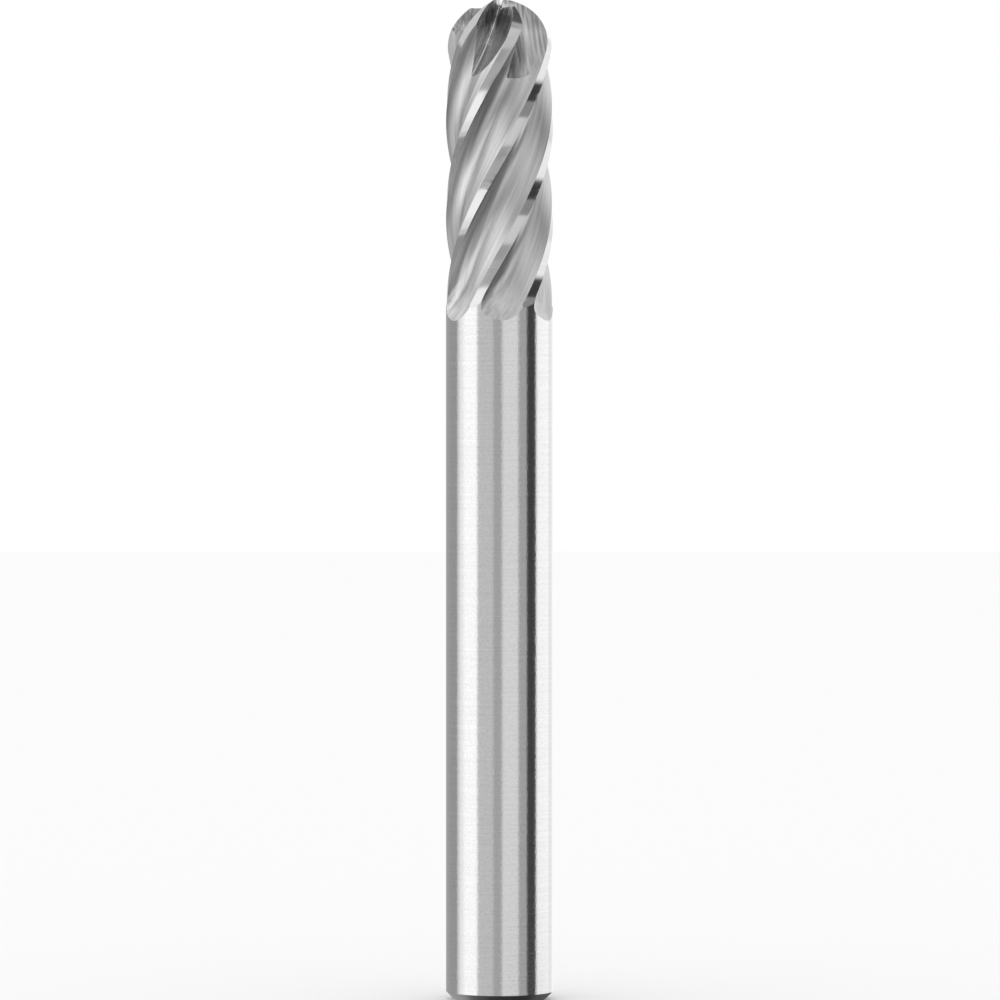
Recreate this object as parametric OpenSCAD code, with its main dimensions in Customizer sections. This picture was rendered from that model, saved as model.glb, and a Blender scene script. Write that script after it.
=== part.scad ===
// Solid carbide burr with a ball nose: a plain round shank and a head with spiral flutes,
// all ground from one bar. Millimetres. The shank's end face sits at z = 0 and the tip is up.
// The flutes, the land relief and the gashes are each the path of the wheel that grinds them.

/* [Bar] */
// Diameter of the bar, the same for the shank and the head
bar_d = 6; // [5:0.25:8]
// Length over all, from the shank's end to the tip
overall_l = 56; // [50:1:80]
// Chamfer at the shank's end
chamfer = 0.45; // [0.2:0.05:0.8]

/* [Flutes] */
// Number of flutes
flutes = 6; // [4:1:6]
// Angle between a cutting edge and the axis
helix_angle = 30; // [24:1:34]
// Depth of the flutes below the bar's surface
flute_depth = 0.82; // [0.5:0.02:1]
// Length from the tip down to where the wheel stops and leaves the run-out
full_depth_l = 14.53; // [12:0.01:20]
// Azimuth of the first cutting edge at the height of the tip, from the front
tip_azimuth = 46.6; // [0:0.1:60]

/* [Flute wheel] */
// Diameter of the wheel that grinds the flutes
wheel_d = 20; // [14:1:30]
// Radius worn on the wheel's leading corner
wheel_corner = 0.5; // [0.3:0.05:0.7]
// Turn of the wheel past the helix angle
wheel_swivel = 2.3; // [1:0.1:4]
// Lean of the wheel's axle away from the bar
wheel_lean = 16.9; // [12:0.1:20]
// How far the wheel's side face runs ahead of the cutting edge
wheel_ahead = 0.4; // [0.3:0.02:0.5]

/* [Lands] */
// Angle at which the flat land falls away behind a cutting edge
relief_angle = 11.8; // [9:0.1:14]
// How far the relief runs on below the wheel's last place
relief_past = 2.57; // [1:0.01:4]
// Length over which the relief runs out
relief_ramp = 0.45; // [0.2:0.05:1]

/* [Gashes] */
// Angle between a gash's valley and the axis
gash_lean = 28.2; // [24:0.1:32]
// How far below the tip a valley crosses the axis
gash_tip = 0.29; // [0.2:0.01:0.4]
// Angle from a cutting edge to where its valley runs out into the flute's floor
gash_ahead_angle = 15.7; // [12:0.1:20]
// Radius of the arc that a valley runs along, bending away from its tooth
gash_bend = 18; // [12:1:40]
// Angle of a gash's near wall, which is the rake face on the ball
near_wall_angle = 69; // [60:1:76]
// Angle of its far wall, which backs off the next tooth
far_wall_angle = 17; // [12:1:24]
// Radius in the valley
valley_r = 0.08; // [0.04:0.02:0.2]
// How much deeper the gashes are that front the short teeth
short_gash = 0.13; // [0:0.01:0.2]
// How far before the axis they stop, which leaves the long teeth whole at the centre
core = 0.2; // [0.1:0.02:0.3]
// How far the short teeth stop below the tip
short_tooth = 0.5; // [0.3:0.01:0.7]

/* [Hidden] */
$fn = 96;

bar_r = bar_d / 2;
ball_z = overall_l - bar_r;
floor_r = bar_r - flute_depth;
lead = PI * bar_d / tan(helix_angle);
turn_per_mm = 360 / lead;
tooth_angle = 360 / flutes;

// The wheel's own axes where it cuts at the front of the bar: axle, outward and along the rim.
// Its rim would reach a little deeper than the flute's floor, where the corner leads it.
swivel = helix_angle + wheel_swivel;
wheel_r = wheel_d / 2;
axle = [cos(swivel) * cos(wheel_lean), -sin(wheel_lean), -sin(swivel) * cos(wheel_lean)];
outward = [-cos(swivel) * sin(wheel_lean), -cos(wheel_lean), sin(swivel) * sin(wheel_lean)];
along = [sin(swivel), 0, cos(swivel)];
corner_reach = 0.17;
wheel_c = [wheel_ahead, corner_reach - floor_r, 0] + wheel_r * outward;

// Azimuth of the first cutting edge at a height
function edge_turn(z) = tip_azimuth - (overall_l - z) * turn_per_mm;

// A point turned about the bar's axis and moved along it
function turned(p, a) = [p.x * cos(a) - p.y * sin(a), p.x * sin(a) + p.y * cos(a), p.z];
function carried(p, h) = turned(p, edge_turn(h)) + [0, 0, h];

// The wheel's profile from its side face round the corner to the rim, as offset along the axle,
// radius and slope. The corner has closer points where it leaves the side face.
corner_slopes = [-90, -87, -83, -78, -72, -64, -54, -43, -32, -21, -10, 0];
rim_w = 3.6;
rim_steps = 5;
profile = concat(
    [for (b = corner_slopes)
        [wheel_corner * (1 + sin(b)), wheel_r - wheel_corner * (1 - cos(b)), b]],
    [for (i = [1:rim_steps])
        [wheel_corner + (rim_w - wheel_corner) * i / rim_steps, wheel_r, 0]]);

// Direction from the wheel's centre to its rim at angle a from the deepest point
function spoke(a) = -outward * cos(a) + along * sin(a);
function on_wheel(p, a) = wheel_c + axle * p[0] + spoke(a) * p[1];

// Angle round the wheel at which a profile point last touches the flute: there the wheel's
// surface runs parallel to the helical path, an equation of the form a cos + b sin + c = 0
twist = PI / 180 * turn_per_mm;
function touch(p) =
    let (cb = cos(p[2]), sb = sin(p[2]), g = p[1] * sb - p[0] * cb,
         a = twist * (cb * (wheel_c.y * outward.x - wheel_c.x * outward.y)
             + g * (outward.y * axle.x - outward.x * axle.y)) - cb * outward.z,
         b = twist * (cb * (wheel_c.x * along.y - wheel_c.y * along.x)
             + g * (along.x * axle.y - along.y * axle.x)) + cb * along.z,
         c = twist * sb * (wheel_c.x * axle.y - wheel_c.y * axle.x) + sb * axle.z,
         base = atan2(b, a), open = acos(-c / norm([a, b])))
    let (low = wrapped(base - open), high = wrapped(base + open))
    abs(low) < abs(high) ? low : high;
function wrapped(a) = a - 360 * round(a / 360);

touches = [for (p = profile) touch(p)];
// The ring that is swept: a point on the side face clear of the bar, then the touching curve
side_rise = 1.6;
side_point = [0, wheel_r - wheel_corner - side_rise, -90];
ring_points = concat([side_point], profile);
ring_angles = concat([touches[0]], touches);
ring_n = len(ring_points);

// Rings down the helix from clear of the tip, then round the wheel where it stopped
stop_z = overall_l - full_depth_l;
helix_rings = 30;
clear_tip = 5;
helix_top = full_depth_l + clear_tip;
exit_rings = 7;
exit_angle = 4.2;
flute_rings = concat(
    [for (k = [helix_rings:-1:0])
        [for (i = [0:ring_n - 1])
            carried(on_wheel(ring_points[i], ring_angles[i]), stop_z + helix_top * k / helix_rings)]],
    [for (k = [1:exit_rings])
        [for (i = [0:ring_n - 1])
            carried(on_wheel(ring_points[i], ring_angles[i] - exit_angle * k), stop_z)]]);

// Solid through a list of rings, each a list of points
module skin(rings) {
    n = len(rings[0]);
    last = len(rings) - 1;
    polyhedron(
        points = [for (ring = rings) each ring],
        faces = concat(
            [[for (i = [0:n - 1]) i]],
            [for (k = [0:last - 1]) for (i = [0:n - 1])
                let (j = (i + 1) % n) each [
                    [k * n + i, (k + 1) * n + i, (k + 1) * n + j],
                    [k * n + i, (k + 1) * n + j, k * n + j]]],
            [[for (i = [n - 1:-1:0]) last * n + i]]));
}

// Strip over each land, from just ahead of its edge straight back past its heel. It follows the
// ball's outline up to near the pole, and lifts out over the ramp at its lower end.
land_angle = tooth_angle / 4;
lead_angle = 1.5;
edge_drop = 0.004;
strip_h = 0.5;
relief_lift = 0.15;
relief_base = stop_z - relief_past;
shaft_rings = 40;
ball_rings = 10;
ball_angle = 84;
land_heights = concat(
    [for (k = [ball_rings:-1:1]) ball_z + bar_r * sin(ball_angle * k / ball_rings)],
    [for (k = [shaft_rings:-1:0]) relief_base + (ball_z - relief_base) * k / shaft_rings]);
function outline_r(z) = z < ball_z ? bar_r : sqrt(bar_r * bar_r - (z - ball_z) * (z - ball_z));
function relief_r(a, z) = outline_r(z) * cos(relief_angle) / cos(a + relief_angle) - edge_drop;
function relief_ring(z, lift) = concat(
    [for (a = [-land_angle, lead_angle])
        turned([0, -(relief_r(a, z) + lift), z], edge_turn(z) + a)],
    [for (a = [lead_angle, -land_angle])
        turned([0, -(outline_r(z) + strip_h + lift), z], edge_turn(z) + a)]);
relief_strip = concat(
    [for (z = land_heights) relief_ring(z, 0)],
    [relief_ring(relief_base - relief_ramp, relief_lift)]);

// A gash's section: two walls that rise from a small round valley, seen along it. It is swept
// on an arc from below the place where the valley meets the flute to past the bar's axis.
wall_l = 8;
valley_steps = 3;
mid_angle = (near_wall_angle + far_wall_angle) / 2;
half_v = (near_wall_angle - far_wall_angle) / 2;
gash_z = overall_l - gash_tip - floor_r / tan(gash_lean);
gash_turn = edge_turn(gash_z) + gash_ahead_angle;
half_arc = asin(floor_r / sin(gash_lean) / 2 / gash_bend);
module gash(depth) {
    below = 4;
    past_axis = 1.5;
    start = half_arc + 180 / PI * below / gash_bend;
    arc = [for (i = [0:valley_steps])
        let (a = 180 + half_v + (180 - 2 * half_v) * i / valley_steps)
        [gash_bend + valley_r * cos(a), valley_r + valley_r * sin(a)]];
    translate([0, -floor_r, gash_z])
        rotate([-gash_lean, 0, 0]) rotate([90, 0, 90 - mid_angle])
            translate([-gash_bend * cos(half_arc), gash_bend * sin(half_arc), -depth])
                rotate(-start)
                    rotate_extrude(angle = start + half_arc + 180 / PI * past_axis / gash_bend)
                        polygon(concat([[gash_bend - wall_l * sin(half_v), wall_l * cos(half_v)]],
                            arc, [[gash_bend + wall_l * sin(half_v), wall_l * cos(half_v)]]));
}

// What fronts a short tooth and ends it: a deeper gash that stops before the axis, and a flat
// below the tip over the sector that the tooth fills there
end_angle = 5;
module short_tooth_cut() {
    spread = tooth_angle / 2;
    intersection() {
        gash(short_gash);
        translate([-bar_d, -bar_d - core, overall_l - bar_d]) cube([2 * bar_d, bar_d, 2 * bar_d]);
    }
    rotate(end_angle) translate([0, 0, overall_l - short_tooth]) linear_extrude(bar_d)
        translate([0, -core / 2])
            polygon([[0, 0], bar_d * [-sin(spread), -cos(spread)], bar_d * [sin(spread), -cos(spread)]]);
}

module blank() {
    rotate_extrude()
        polygon([[0, 0], [bar_r - chamfer, 0], [bar_r, chamfer], [bar_r, ball_z], [0, ball_z]]);
    translate([0, 0, ball_z]) sphere(bar_r);
}

module burr() {
    color("silver") difference() {
        blank();
        for (k = [0:flutes - 1]) rotate(k * tooth_angle) {
            skin(flute_rings);
            skin(relief_strip);
            rotate(gash_turn)
                if (k % 2 == 0) short_tooth_cut();
                else gash(0);
        }
    }
}

burr();
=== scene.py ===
import math

import bmesh
import bpy
from mathutils import Matrix, Vector


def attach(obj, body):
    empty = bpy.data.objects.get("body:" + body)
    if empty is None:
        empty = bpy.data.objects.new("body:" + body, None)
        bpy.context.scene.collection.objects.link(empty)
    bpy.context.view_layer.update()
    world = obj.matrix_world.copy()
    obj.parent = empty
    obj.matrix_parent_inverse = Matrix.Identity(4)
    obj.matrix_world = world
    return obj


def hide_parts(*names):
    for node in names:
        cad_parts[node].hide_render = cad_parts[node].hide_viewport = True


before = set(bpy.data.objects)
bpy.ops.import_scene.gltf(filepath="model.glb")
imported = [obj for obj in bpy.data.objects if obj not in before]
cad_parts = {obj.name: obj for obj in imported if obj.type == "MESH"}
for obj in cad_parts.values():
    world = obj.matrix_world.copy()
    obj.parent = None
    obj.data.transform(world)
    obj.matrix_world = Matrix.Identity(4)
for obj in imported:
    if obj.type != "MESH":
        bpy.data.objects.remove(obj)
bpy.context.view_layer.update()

# The bar: a round rod of sintered tungsten carbide, ground to size all over, with a chamfer at
# the shank's end and a ball of its own radius at the tip. The shank's skin comes from centreless
# grinding. All of the burr is worked in millimetres here, and brought to metres at the end.
mm = 0.001
bar_r = 3.0
overall_l = 56.0
chamfer = 0.45
ball_z = overall_l - bar_r
carbide_grey = 0.56
helix_angle = 30.0
bar_steps = 240
ball_steps = 72
weld = 1e-5


class Value:
    """The output of a node. Python's operators on it add Math nodes."""

    def __init__(self, finish, socket):
        self.finish = finish
        self.socket = socket

    def math(self, operation, *others):
        values = dict(enumerate((self,) + others))
        return self.finish.node("ShaderNodeMath", {"operation": operation}, values)

    def __add__(self, other):
        return self.math("ADD", other)

    __radd__ = __add__

    def __sub__(self, other):
        return self.math("SUBTRACT", other)

    def __rsub__(self, other):
        return self.math("MULTIPLY_ADD", -1.0, other)

    def __mul__(self, other):
        return self.math("MULTIPLY", other)

    __rmul__ = __mul__

    def __truediv__(self, other):
        return self.math("DIVIDE", other)

    def __neg__(self):
        return self.math("MULTIPLY", -1.0)


class Finish:
    """The nodes of a material, added one by one."""

    def __init__(self, tree):
        self.tree = tree
        tree.nodes.clear()

    def node(self, kind, settings=None, inputs=None, out=0):
        """Adds a node, sets it, gives its sockets values or links, and gives one output."""
        node = self.tree.nodes.new(kind)
        for name, value in (settings or {}).items():
            setattr(node, name, value)
        for name, value in (inputs or {}).items():
            if isinstance(value, Value):
                self.tree.links.new(value.socket, node.inputs[name])
            else:
                node.inputs[name].default_value = value
        if node.outputs:
            return Value(self, node.outputs[out])

    def place(self):
        """The point on the surface in millimetres."""
        where = self.node("ShaderNodeTexCoord", out="Object")
        inputs = {"Vector": where, "Scale": 1 / mm}
        return self.node("ShaderNodeVectorMath", {"operation": "SCALE"}, inputs)

    def part(self, vector, axis):
        return self.node("ShaderNodeSeparateXYZ", inputs={"Vector": vector}, out=axis)

    def turned(self, vector, axis, angle):
        settings = {"rotation_type": axis + "_AXIS"}
        inputs = {"Vector": vector, "Angle": angle}
        return self.node("ShaderNodeVectorRotate", settings, inputs)

    def noise(self, vector, stretch, detail=3.0):
        """Noise whose grains are finer the larger stretch is on an axis."""
        inputs = {0: vector, 1: stretch}
        scaled = self.node("ShaderNodeVectorMath", {"operation": "MULTIPLY"}, inputs)
        inputs = {"Vector": scaled, "Scale": 1.0, "Detail": detail}
        return self.node("ShaderNodeTexNoise", None, inputs)

    def step(self, value, low, high):
        """Rises smoothly from 0 at low to 1 at high."""
        inputs = {"Value": value, "From Min": low, "From Max": high}
        return self.node("ShaderNodeMapRange", {"interpolation_type": "SMOOTHSTEP"}, inputs)


def ground_carbide(
        name, marks, tone, roughness, rough_swing, depth, brushed=0.0, grey=carbide_grey):
    """Bare carbide as a wheel leaves it. marks gives the pattern of the scratches, 0 to 1, which
    sways the tone and the roughness by the amounts given, and stands depth millimetres high. A
    brushed skin spreads its gloss across grooves that climb with the flutes."""
    material = bpy.data.materials.new(name)
    material.use_nodes = True
    finish = Finish(material.node_tree)
    pattern = marks(finish)
    swayed = grey + tone * (pattern - 0.5)
    inputs = {"Red": swayed, "Green": swayed, "Blue": swayed}
    shade = finish.node("ShaderNodeCombineColor", None, inputs)
    bump = finish.node("ShaderNodeBump", None, {"Height": pattern * depth, "Distance": mm})
    rough = roughness + rough_swing * (pattern - 0.5)
    inputs = {"Base Color": shade, "Metallic": 1.0, "Roughness": rough, "Normal": bump,
              "Anisotropic": brushed, "Anisotropic Rotation": 1 - helix_angle / 360}
    shader = finish.node("ShaderNodeBsdfPrincipled", None, inputs)
    finish.node("ShaderNodeOutputMaterial", None, {"Surface": shader})
    return material


def shank_marks(finish):
    """Fine rings round the bar, over a faint grain."""
    place = finish.place()
    rings = finish.noise(place, (0.3, 0.3, 9.0))
    grain = finish.noise(place, (8.0, 8.0, 8.0))
    return 0.4 * rings + 0.6 * grain


def end_marks(finish):
    """Turned rings on the chamfer and the end face."""
    return finish.noise(finish.place(), (7.0, 7.0, 22.0))


shank_skin = ground_carbide(
    "carbide_shank", shank_marks, tone=0.24, roughness=0.12, rough_swing=0.1, depth=0.006)
end_skin = ground_carbide(
    "carbide_end", end_marks, tone=0.2, roughness=0.3, rough_swing=0.1, depth=0.002)


def chain(bm, corners):
    """Vertices joined in a line by edges."""
    points = [bm.verts.new(corner) for corner in corners]
    for a, b in zip(points, points[1:]):
        bm.edges.new((a, b))
    return points


def swept(bm, points, steps, degrees, cent=(0, 0, 0), axis=(0, 0, 1), rise=0.0):
    """Sweeps points and the edges between them round an axis, and gives where they end. With a
    rise along the axis, in all, the path is a helix. A full turn closes on itself."""
    held = set(points)
    edges = [edge for edge in bm.edges if held.issuperset(edge.verts)]
    done = bmesh.ops.spin(
        bm, geom=points + edges, cent=cent, axis=axis, dvec=Vector(axis) * rise / steps,
        angle=math.radians(degrees), steps=steps, use_merge=degrees == 360, use_duplicate=False)
    return [item for item in done["geom_last"] if isinstance(item, bmesh.types.BMVert)]


def closed_solid(name, bm, *materials):
    """Caps the open ends of a swept surface and gives it as an object, facing outwards."""
    bmesh.ops.remove_doubles(bm, verts=bm.verts, dist=weld)
    bmesh.ops.holes_fill(bm, edges=bm.edges, sides=0)
    bmesh.ops.recalc_face_normals(bm, faces=bm.faces)
    mesh = bpy.data.meshes.new(name)
    bm.to_mesh(mesh)
    bm.free()
    for material in materials:
        mesh.materials.append(material)
    piece = bpy.data.objects.new(name, mesh)
    bpy.context.scene.collection.objects.link(piece)
    return piece


bm = bmesh.new()
pole = chain(bm, [(0, 0, overall_l)])
ball_side = swept(bm, pole, ball_steps, 90, cent=(0, 0, ball_z), axis=(1, 0, 0))
shank_side = chain(bm, [(0, -bar_r, chamfer), (0, chamfer - bar_r, 0), (0, 0, 0)])
bm.edges.new((ball_side[0], shank_side[0]))
swept(bm, bm.verts[:], bar_steps, 360)
for face in bm.faces:
    face.material_index = int(face.calc_center_median().z < chamfer)
burr = closed_solid("burr_ground", bm, shank_skin, end_skin)

# The flutes: six steep right-hand spirals, each ground in one pass by a small wheel that leans
# over the bar. Its worn corner rounds the root and its rim the floor, and where it stopped it
# left a run-out as round as itself.
flutes = 6
tooth_turn = 360 / flutes
turn_per_mm = math.degrees(math.tan(math.radians(helix_angle)) / bar_r)
tip_turn = 46.6
stop_z = overall_l - 14.53
floor_r = bar_r - 0.82
swivel = math.radians(32.3)
lean = math.radians(16.9)
wheel_r = 10.0
wheel_corner = 0.5
corner_reach = 0.17
wheel_ahead = 0.4
side_rise = 1.6
rim_w = 3.6
corner_steps = 30
rim_steps = 14
clear_tip = 5.0
helix_steps = 160
exit_degrees = 29.4
exit_steps = 16


def flute_marks(finish):
    """Scratches along the helix, fine and uneven."""
    place = finish.place()
    unwound = finish.turned(place, "Z", finish.part(place, "Z") * -math.radians(turn_per_mm))
    fine = finish.noise(unwound, (5.5, 5.5, 0.25))
    broad = finish.noise(unwound, (2.2, 2.2, 0.12))
    return 0.55 * fine + 0.45 * broad


flute_skin = ground_carbide(
    "carbide_flute", flute_marks, tone=0.9, roughness=0.34, rough_swing=0.2, depth=0.018,
    brushed=0.85)

# The wheel's axes in the bar's frame, where it cuts at the front: its axle, along its rim, and
# from its centre to its deepest point. Its rim would reach a little deeper than the flute's
# floor, where the corner leads it.
axle = Vector((
    math.cos(swivel) * math.cos(lean), -math.sin(lean), -math.sin(swivel) * math.cos(lean)))
along = Vector((math.sin(swivel), 0, math.cos(swivel)))
inward = along.cross(axle)
wheel_c = Vector((wheel_ahead, corner_reach - floor_r, 0)) - wheel_r * inward
wheel_place = Matrix((axle, along, inward)).transposed().to_4x4()
wheel_place.translation = wheel_c


def touch_angle(offset, radius, slope):
    """The angle round the wheel at which a point of its profile last touches the flute: there
    its surface runs parallel to the helix, which is an equation a cos + b sin + c = 0."""
    twist = math.radians(turn_per_mm)
    cb, sb = math.cos(slope), math.sin(slope)
    g = radius * sb - offset * cb
    a = twist * (cb * (wheel_c.y * -inward.x + wheel_c.x * inward.y)
                 + g * (-inward.y * axle.x + inward.x * axle.y)) + cb * inward.z
    b = twist * (cb * (wheel_c.x * along.y - wheel_c.y * along.x)
                 + g * (along.x * axle.y - along.y * axle.x)) + cb * along.z
    c = twist * sb * (wheel_c.x * axle.y - wheel_c.y * axle.x) + sb * axle.z
    base, opening = math.atan2(b, a), math.acos(-c / math.hypot(a, b))
    both = [math.remainder(base + side * opening, math.tau) for side in (-1, 1)]
    return min(both, key=abs)


def edge_turn(z):
    """Azimuth of the first cutting edge at a height, in degrees from the front."""
    return tip_turn - (overall_l - z) * turn_per_mm


bm = bmesh.new()
corner_c = Vector((wheel_corner, 0, wheel_r - wheel_corner))
side_face = chain(bm, [corner_c - Vector((wheel_corner, 0, 0))])
rim_start = swept(bm, side_face, corner_steps, 90, cent=corner_c, axis=(0, 1, 0))[0]
for k in range(rim_steps):
    rim_end = bmesh.ops.extrude_vert_indiv(bm, verts=[rim_start])["verts"][0]
    rim_end.co.x += (rim_w - wheel_corner) / rim_steps
    rim_start = rim_end
for vert in bm.verts:
    arm = vert.co - corner_c
    slope = math.atan2(arm.x, arm.z) if arm.x < 0 else 0.0
    angle = touch_angle(vert.co.x, vert.co.z, slope)
    if vert == side_face[0]:
        side_angle = angle
    vert.co = Matrix.Rotation(-angle, 3, "X") @ vert.co
side_top = bm.verts.new(
    Matrix.Rotation(-side_angle, 3, "X") @ Vector((0, 0, corner_c.z - side_rise)))
bm.edges.new((side_face[0], side_top))
bm.edges.new((side_top, rim_end))
top_z = overall_l + clear_tip
start_place = (
    Matrix.Translation((0, 0, top_z)) @ Matrix.Rotation(math.radians(edge_turn(top_z)), 4, "Z"))
bmesh.ops.transform(bm, matrix=start_place @ wheel_place, verts=bm.verts)
drop = top_z - stop_z
ring = swept(bm, bm.verts[:], helix_steps, -drop * turn_per_mm, rise=-drop)
stop_place = (
    Matrix.Translation((0, 0, stop_z)) @ Matrix.Rotation(math.radians(edge_turn(stop_z)), 4, "Z"))
swept(bm, ring, exit_steps, -exit_degrees, cent=stop_place @ wheel_c, axis=stop_place.to_3x3() @ axle)
flute_cut = closed_solid("flute_cut", bm, flute_skin)

# The lands: a strip behind each cutting edge, ground flat across and falling away from the
# edge. It follows the ball up to the tip, and ends in a short ramp below the run-outs.
relief = math.radians(11.8)
edge_drop = 0.004
land_ahead = 0.08
land_behind = 0.79
land_steps = 6
strip_h = 0.5
relief_base = stop_z - 2.57
relief_ramp = 0.45
relief_lift = 0.15
ball_sweep = 84.0
land_rings = 110


def land_marks(finish):
    """Fine scratches across the strip, with patches of chatter from the wheel."""
    place = finish.place()
    fine = finish.noise(place, (1.5, 1.5, 22.0))
    patches = finish.step(finish.noise(place, (0.25, 0.25, 0.45), 0.0), 0.5, 0.62)
    chatter = finish.noise(place, (0.2, 0.2, 6.0), 0.0)
    return 0.15 * fine + 0.85 * (patches * (chatter - 0.5) + 0.5)


land_skin = ground_carbide(
    "carbide_land", land_marks, tone=0.2, roughness=0.1, rough_swing=0.06, depth=0.006, grey=0.5)

bm = bmesh.new()
edge = Vector((0, edge_drop - bar_r, 0))
fall = Vector((math.cos(relief), -math.sin(relief), 0))
ahead, behind = edge + fall * land_ahead, edge - fall * land_behind
section = [ahead.lerp(behind, k / land_steps) for k in range(land_steps + 1)]
section += [corner * (1 + strip_h / bar_r) for corner in (behind, ahead)]
strip = chain(bm, section)
bm.edges.new((strip[-1], strip[0]))
base_place = (
    Matrix.Translation((0, 0, relief_base))
    @ Matrix.Rotation(math.radians(edge_turn(relief_base)), 4, "Z"))
bmesh.ops.transform(bm, matrix=base_place, verts=bm.verts)
base_ring = bm.verts[:]
climb = ball_z - relief_base + bar_r * math.radians(ball_sweep)
swept(bm, base_ring, land_rings, climb * turn_per_mm, rise=climb)
ramp = swept(bm, base_ring, 1, -relief_ramp * turn_per_mm, rise=-relief_ramp)
lifted = 1 + relief_lift / bar_r
bmesh.ops.scale(bm, vec=(lifted, lifted, 1), verts=ramp)
# On the ball, height along the bar becomes the way round the ball, which ends lower, and the
# strip is turned back to the azimuth that its edge has there.
for vert in bm.verts:
    if vert.co.z > ball_z:
        tilt = (vert.co.z - ball_z) / bar_r
        sink = bar_r * (math.sin(tilt) - tilt)
        turned_back = Matrix.Rotation(math.radians(sink * turn_per_mm), 3, "Z")
        vert.co = turned_back @ Vector((
            vert.co.x * math.cos(tilt), vert.co.y * math.cos(tilt), vert.co.z + sink))
land_cut = closed_solid("land_cut", bm, land_skin)

# The gashes: one in front of each tooth on the ball, a V with a small round valley that bends
# away from its tooth. Every second one is deeper and stops before the axis, and the tooth
# behind it ends short of the tip, so three long teeth alone meet at the centre.
gash_lean = math.radians(28.2)
gash_tip = 0.29
gash_ahead = 15.7
gash_bend = 18.0
near_wall = 69.0
far_wall = 17.0
valley_r = 0.08
short_gash = 0.13
core = 0.2
short_tooth = 0.5
end_turn = 5.0
wall_l = 8.0
valley_steps = 8
gash_steps = 64
gash_below = 4.0
gash_past = 1.5
# Painted shade: how much darker the gash walls are made near the tip, and over which heights.
tip_shade = 0.13
tip_shade_below = 2.0
tip_shade_full = 1.2
gash_z = overall_l - gash_tip - floor_r / math.tan(gash_lean)
gash_turn = edge_turn(gash_z) + gash_ahead


def gash_marks(finish):
    """Scratches along the valley on both walls, in the frame of whichever gash it is. The walls
    are darker near the tip, where their tone carries painted shade."""
    place = finish.place()
    x, y, z = (finish.part(place, axis) for axis in "XYZ")
    azimuth = x.math("ARCTAN2", -y) * math.degrees(1)
    ahead = (azimuth - tip_turn + (overall_l - z) * turn_per_mm) / tooth_turn
    gash_at = ahead.math("FLOOR") * tooth_turn + gash_turn
    facing = finish.turned(place, "Z", gash_at * -math.radians(1))
    upright = finish.turned(facing, "X", gash_lean)
    fine = finish.noise(upright, (5.5, 5.5, 0.25))
    broad = finish.noise(upright, (2.5, 2.5, 0.15))
    # Painted shade, from none lower down to full near the tip.
    shaded_near_tip = finish.step(z, overall_l - tip_shade_below, overall_l - tip_shade_full)
    return 0.75 * fine + 0.25 * broad - tip_shade * shaded_near_tip


gash_skin = ground_carbide(
    "carbide_gash", gash_marks, tone=1.6, roughness=0.24, rough_swing=0.15, depth=0.018,
    brushed=0.7)


def gash(name, depth, stop=None):
    """A gash's path as a solid, cut off short of the axis where stop says so."""
    half_v = math.radians((near_wall - far_wall) / 2)
    half_arc = math.asin(floor_r / math.sin(gash_lean) / 2 / gash_bend)
    start = half_arc + gash_below / gash_bend
    bm = bmesh.new()
    valley_c = Vector((gash_bend, 0, valley_r))
    first = valley_c - valley_r * Vector((math.cos(half_v), 0, math.sin(half_v)))
    walls = [Vector((gash_bend + side * wall_l * math.sin(half_v), 0, wall_l * math.cos(half_v)))
             for side in (-1, 1)]
    near = chain(bm, [walls[0], first])
    valley_end = swept(
        bm, near[1:], valley_steps, -math.degrees(math.pi - 2 * half_v), cent=valley_c, axis=(0, 1, 0))
    far = chain(bm, [walls[1]])
    bm.edges.new((valley_end[0], far[0]))
    bm.edges.new((far[0], near[0]))
    bmesh.ops.rotate(bm, matrix=Matrix.Rotation(-start, 3, "Z"), verts=bm.verts)
    turn = math.degrees(start + half_arc + gash_past / gash_bend)
    swept(bm, bm.verts[:], gash_steps, turn)
    bmesh.ops.holes_fill(bm, edges=bm.edges, sides=0)
    shift = (-gash_bend * math.cos(half_arc), gash_bend * math.sin(half_arc), -depth)
    place = (
        Matrix.Translation((0, -floor_r, gash_z))
        @ Matrix.Rotation(-gash_lean, 4, "X")
        @ Matrix.Rotation(math.radians(90 - (near_wall + far_wall) / 2), 4, "Z")
        @ Matrix.Rotation(math.radians(90), 4, "X")
        @ Matrix.Translation(shift))
    bmesh.ops.transform(bm, matrix=place, verts=bm.verts)
    if stop is not None:
        bmesh.ops.bisect_plane(
            bm, geom=bm.verts[:] + bm.edges[:] + bm.faces[:], plane_co=(0, stop, 0),
            plane_no=(0, 1, 0), clear_outer=True)
    bmesh.ops.rotate(bm, matrix=Matrix.Rotation(math.radians(gash_turn), 3, "Z"), verts=bm.verts)
    return closed_solid(name, bm, gash_skin)


long_gash = gash("long_gash", 0.0)
deep_gash = gash("deep_gash", short_gash, -core)

bm = bmesh.new()
spread = math.radians(tooth_turn / 2)
reach = 2 * bar_r
apex = Vector((0, -core / 2, overall_l - short_tooth))
outer = [apex + reach * Vector((side * math.sin(spread), -math.cos(spread), 0)) for side in (-1, 1)]
bm.faces.new(chain(bm, [apex] + outer))
swept(bm, bm.verts[:], 1, 0, rise=reach)
bmesh.ops.rotate(
    bm, matrix=Matrix.Rotation(math.radians(gash_turn + end_turn), 3, "Z"), verts=bm.verts)
tooth_end = closed_solid("tooth_end", bm, gash_skin)

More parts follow.
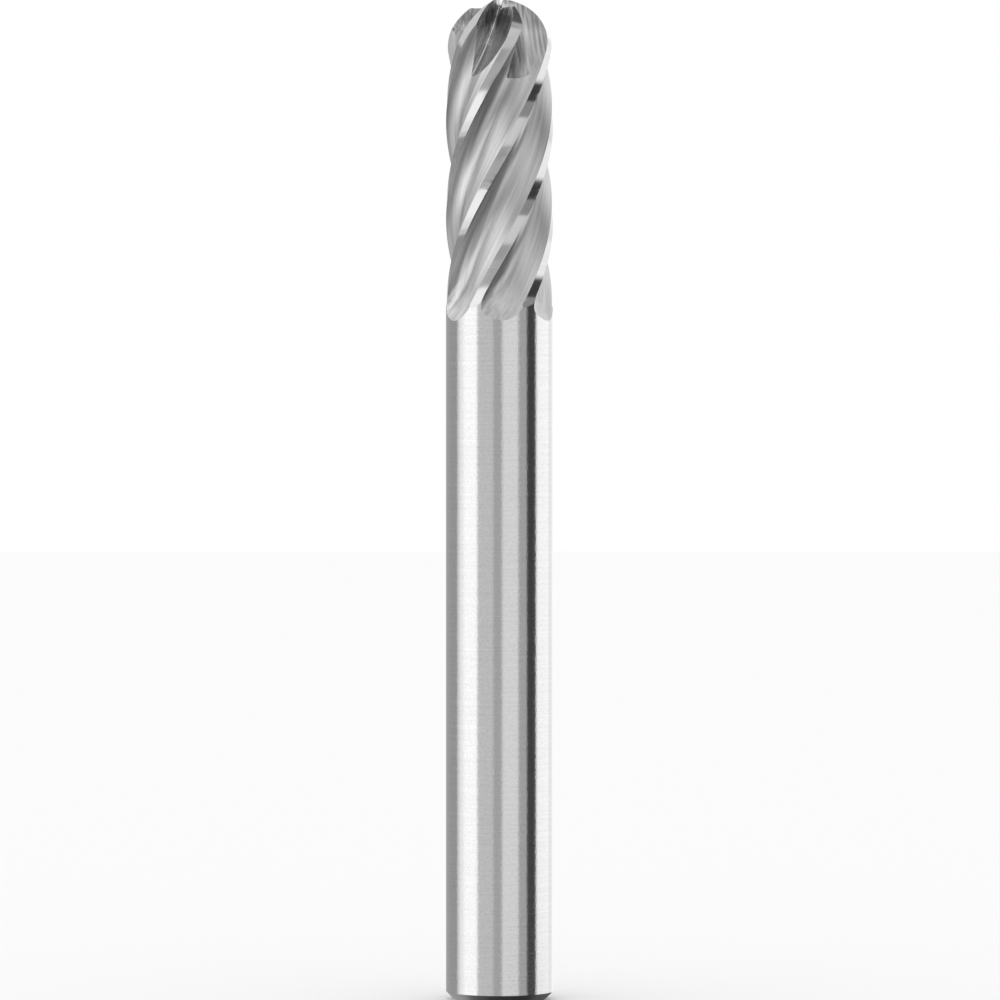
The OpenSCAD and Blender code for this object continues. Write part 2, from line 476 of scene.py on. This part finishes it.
# The grinding: every cut is taken from the bar at each tooth or at every second one, and what is
# left is one piece of carbide with sharp edges where two cuts meet.
sharp_angle = math.radians(24)
merge_gap = 2e-4
sliver_w = 1e-4
cuts = {flute_cut: 1, land_cut: 1, long_gash: 2, deep_gash: 2, tooth_end: 2}
first_tooth = {long_gash: 1}
tools = []
for cutter, every in cuts.items():
    for k in range(first_tooth.get(cutter, 0), flutes, every):
        tool = bpy.data.objects.new(cutter.name, cutter.data.copy())
        tool.data.transform(Matrix.Rotation(math.radians(k * tooth_turn), 4, "Z"))
        bpy.context.scene.collection.objects.link(tool)
        pass_done = burr.modifiers.new("pass", "BOOLEAN")
        pass_done.object = tool
        pass_done.operation = "DIFFERENCE"
        pass_done.solver = "MANIFOLD"
        pass_done.material_mode = "TRANSFER"
        tools.append(tool)
ground = bpy.data.meshes.new_from_object(
    burr.evaluated_get(bpy.context.evaluated_depsgraph_get()))
burr.modifiers.clear()
burr.data = ground
for tool in tools + list(cuts):
    bpy.data.objects.remove(tool)

# Points that the cuts left close together are merged, and the loose slivers that this leaves
# are taken out.
bm = bmesh.new()
bm.from_mesh(ground)
bmesh.ops.remove_doubles(bm, verts=bm.verts, dist=merge_gap)
bmesh.ops.dissolve_degenerate(bm, edges=bm.edges, dist=sliver_w)
slivers = [face for face in bm.faces if all(edge.is_boundary for edge in face.edges)]
bmesh.ops.delete(bm, geom=slivers, context="FACES")
bmesh.ops.delete(bm, geom=[edge for edge in bm.edges if edge.is_wire], context="EDGES")
bmesh.ops.scale(bm, vec=(mm, mm, mm), verts=bm.verts)
for edge in bm.edges:
    edge.smooth = (
        len(edge.link_faces) == 2
        and edge.link_faces[0].material_index == edge.link_faces[1].material_index
        and edge.calc_face_angle() < sharp_angle)
for face in bm.faces:
    face.smooth = True
bm.to_mesh(ground)
bm.free()
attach(burr, "root")
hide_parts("burr")

# The floor and the light tent: a white floor under a white sky, and round them a tent of soft
# boxes and grey cards that only shows in the metal. Each panel lies over the ones before it.
tent_r = 1.5
tent_z = 0.032
tent_around = 64
tent_up = 32
floor_size = 1.2
floor_steps = 96
floor_white = 0.97
cloth_tone = 172
# Azimuth from the front and height in degrees, how many degrees the sides slant to the left for
# each degree of height, how soft the sides and the ends are, and the tone seen in the carbide.
panels = [
    ("table", (-180, 180), (-90, -10), 0, (1, 2), 146),
    ("table far side", (27, 180), (-90, -10), 0, (12, 2), 78),
    ("table sheen", (-109, -66), (-46, -9), 1.45, (10, 14), 246),
    ("back card", (-180, -103), (-90, 14), 0, (2, 2), 144),
    ("back box", (-180, -60), (16, 60), 0, (5, 3), 206),
    ("left box", (-101, -48), (-10, 34), 0, (2, 3), 228),
    ("left box middle", (-84, -48), (-10, 32), 0, (7, 3), 250),
    ("left box far side", (-103, -96), (-10, 32), 0, (2, 3), 200),
    ("gap", (-73, -45), (15, 41), -1, (4, 3), 128),
    ("front left", (-48, -13), (-10, 4), 0, (2, 1), 186),
    ("front card", (-13, 4), (-10, 13), 0, (3, 1), 159),
    ("front right", (6, 42), (-10, 15), 0, (3, 3), 208),
    ("front right foot", (4, 11), (-18, -9), 0, (1, 2), 216),
    ("front right top", (6, 42), (15, 58), 0, (4, 3), 196),
    ("upper front", (-30, 5), (37, 56), 0, (6, 5), 190),
    ("upper side", (62, 180), (19, 90), 0, (5, 3), 122),
    ("right box", (87, 180), (-9, 15), 0, (4, 4), 243),
    ("right back", (132, 180), (-10, 40), 0, (6, 4), 218),
    ("right box top", (56, 180), (14, 34), -2.2, (6, 2), 240),
    ("side card", (42, 60), (-10, 56), 0, (2, 3), 158),
    ("side card top", (42, 60), (4, 50), 0, (2, 1), 138),
    ("flag", (61, 84), (-10, 45), 0, (1.5, 3), 60),
    ("lamp", (60, 82), (15, 20), 0, (5, 1), 206),
    ("ceiling", (-180, 180), (57, 90), 0, (1, 4), 172),
    ("ceiling far side", (60, 180), (38, 90), 0, (8, 6), 84),
    ("underside", (-180, 180), (-90, -66), 0, (1, 4), 48),
    ("underside left", (-180, -95), (-72, -52), 0, (6, 4), 76),
    ("underside right", (95, 180), (-72, -50), 0, (6, 4), 40),
]


def linear(tone):
    """A tone of 0 to 255 as the amount of light that gives it, by the sRGB curve."""
    share = tone / 255
    return share / 12.92 if share <= 0.04045 else ((share + 0.055) / 1.055) ** 2.4


def between(finish, value, ends, limit, soft):
    """1 between the two ends and 0 beyond them. An end at the limit has no edge."""
    low, high = ends
    share = 1.0
    if low > -limit:
        share = share * finish.step(value, low - soft, low + soft)
    if high < limit:
        share = share * (1 - finish.step(value, high - soft, high + soft))
    return share


cloth = bpy.data.materials.new("tent_cloth")
cloth.use_nodes = True
finish = Finish(cloth.node_tree)
where = finish.node("ShaderNodeTexCoord", out="Object")
centred = finish.node(
    "ShaderNodeVectorMath", {"operation": "SUBTRACT"}, {0: where, 1: (0, 0, tent_z)})
way = finish.node("ShaderNodeVectorMath", {"operation": "NORMALIZE"}, {0: centred})
x, y, z = (finish.part(way, axis) for axis in "XYZ")
azimuth = x.math("ARCTAN2", -y) * math.degrees(1)
height = z.math("ARCSINE") * math.degrees(1)
light = linear(cloth_tone)
for name, sides, ends, slant, (side_soft, end_soft), tone in panels:
    across = azimuth + height * slant if slant else azimuth
    mask = between(finish, across, sides, 180, side_soft) * between(finish, height, ends, 90, end_soft)
    light = light + (linear(tone) - light) * mask
shader = finish.node("ShaderNodeEmission", None, {"Color": light, "Strength": 1 / carbide_grey})
finish.node("ShaderNodeOutputMaterial", None, {"Surface": shader})

bm = bmesh.new()
bmesh.ops.create_uvsphere(bm, u_segments=tent_around, v_segments=tent_up, radius=tent_r)
bmesh.ops.reverse_faces(bm, faces=bm.faces)
bmesh.ops.translate(bm, vec=(0, 0, tent_z), verts=bm.verts)
mesh = bpy.data.meshes.new("light_tent")
bm.to_mesh(mesh)
bm.free()
mesh.materials.append(cloth)
tent = bpy.data.objects.new("light_tent", mesh)
bpy.context.scene.collection.objects.link(tent)
tent.visible_camera = False
tent.visible_diffuse = False
tent.visible_shadow = False
tent.visible_transmission = False
tent.visible_volume_scatter = False

paper = bpy.data.materials.new("white_paper")
paper.use_nodes = True
finish = Finish(paper.node_tree)
shader = finish.node(
    "ShaderNodeBsdfDiffuse", None, {"Color": (floor_white, floor_white, floor_white, 1.0)})
finish.node("ShaderNodeOutputMaterial", None, {"Surface": shader})

bm = bmesh.new()
bmesh.ops.create_circle(bm, cap_ends=True, segments=floor_steps, radius=floor_size)
mesh = bpy.data.meshes.new("floor")
bm.to_mesh(mesh)
bm.free()
mesh.materials.append(paper)
floor = bpy.data.objects.new("floor", mesh)
bpy.context.scene.collection.objects.link(floor)
floor.visible_glossy = False

world = bpy.data.worlds.new("white_sky")
bpy.context.scene.world = world
world.use_nodes = True
finish = Finish(world.node_tree)
sky = finish.node("ShaderNodeBackground", None, {"Color": (1.0, 1.0, 1.0, 1.0), "Strength": 1.0})
finish.node("ShaderNodeOutputWorld", None, {"Surface": sky})

# The camera: a little above the middle of the burr and aimed at it, and far enough away that
# both ends just meet the frame.
camera_x = 0.000025
camera_y = -0.325
camera_z = 0.0319
frame_width = 0.05602
middle_z = 0.02798
data = bpy.data.cameras.new("camera")
data.sensor_width = 36.0
data.lens = data.sensor_width * math.hypot(camera_y, camera_z - middle_z) / frame_width
data.clip_start = 0.01
camera = bpy.data.objects.new("camera", data)
camera.location = (camera_x, camera_y, camera_z)
camera.rotation_euler = (math.atan2(-camera_y, camera_z - middle_z), 0, 0)
bpy.context.scene.collection.objects.link(camera)
bpy.context.scene.camera = camera
bpy.context.scene.view_settings.view_transform = "Standard"
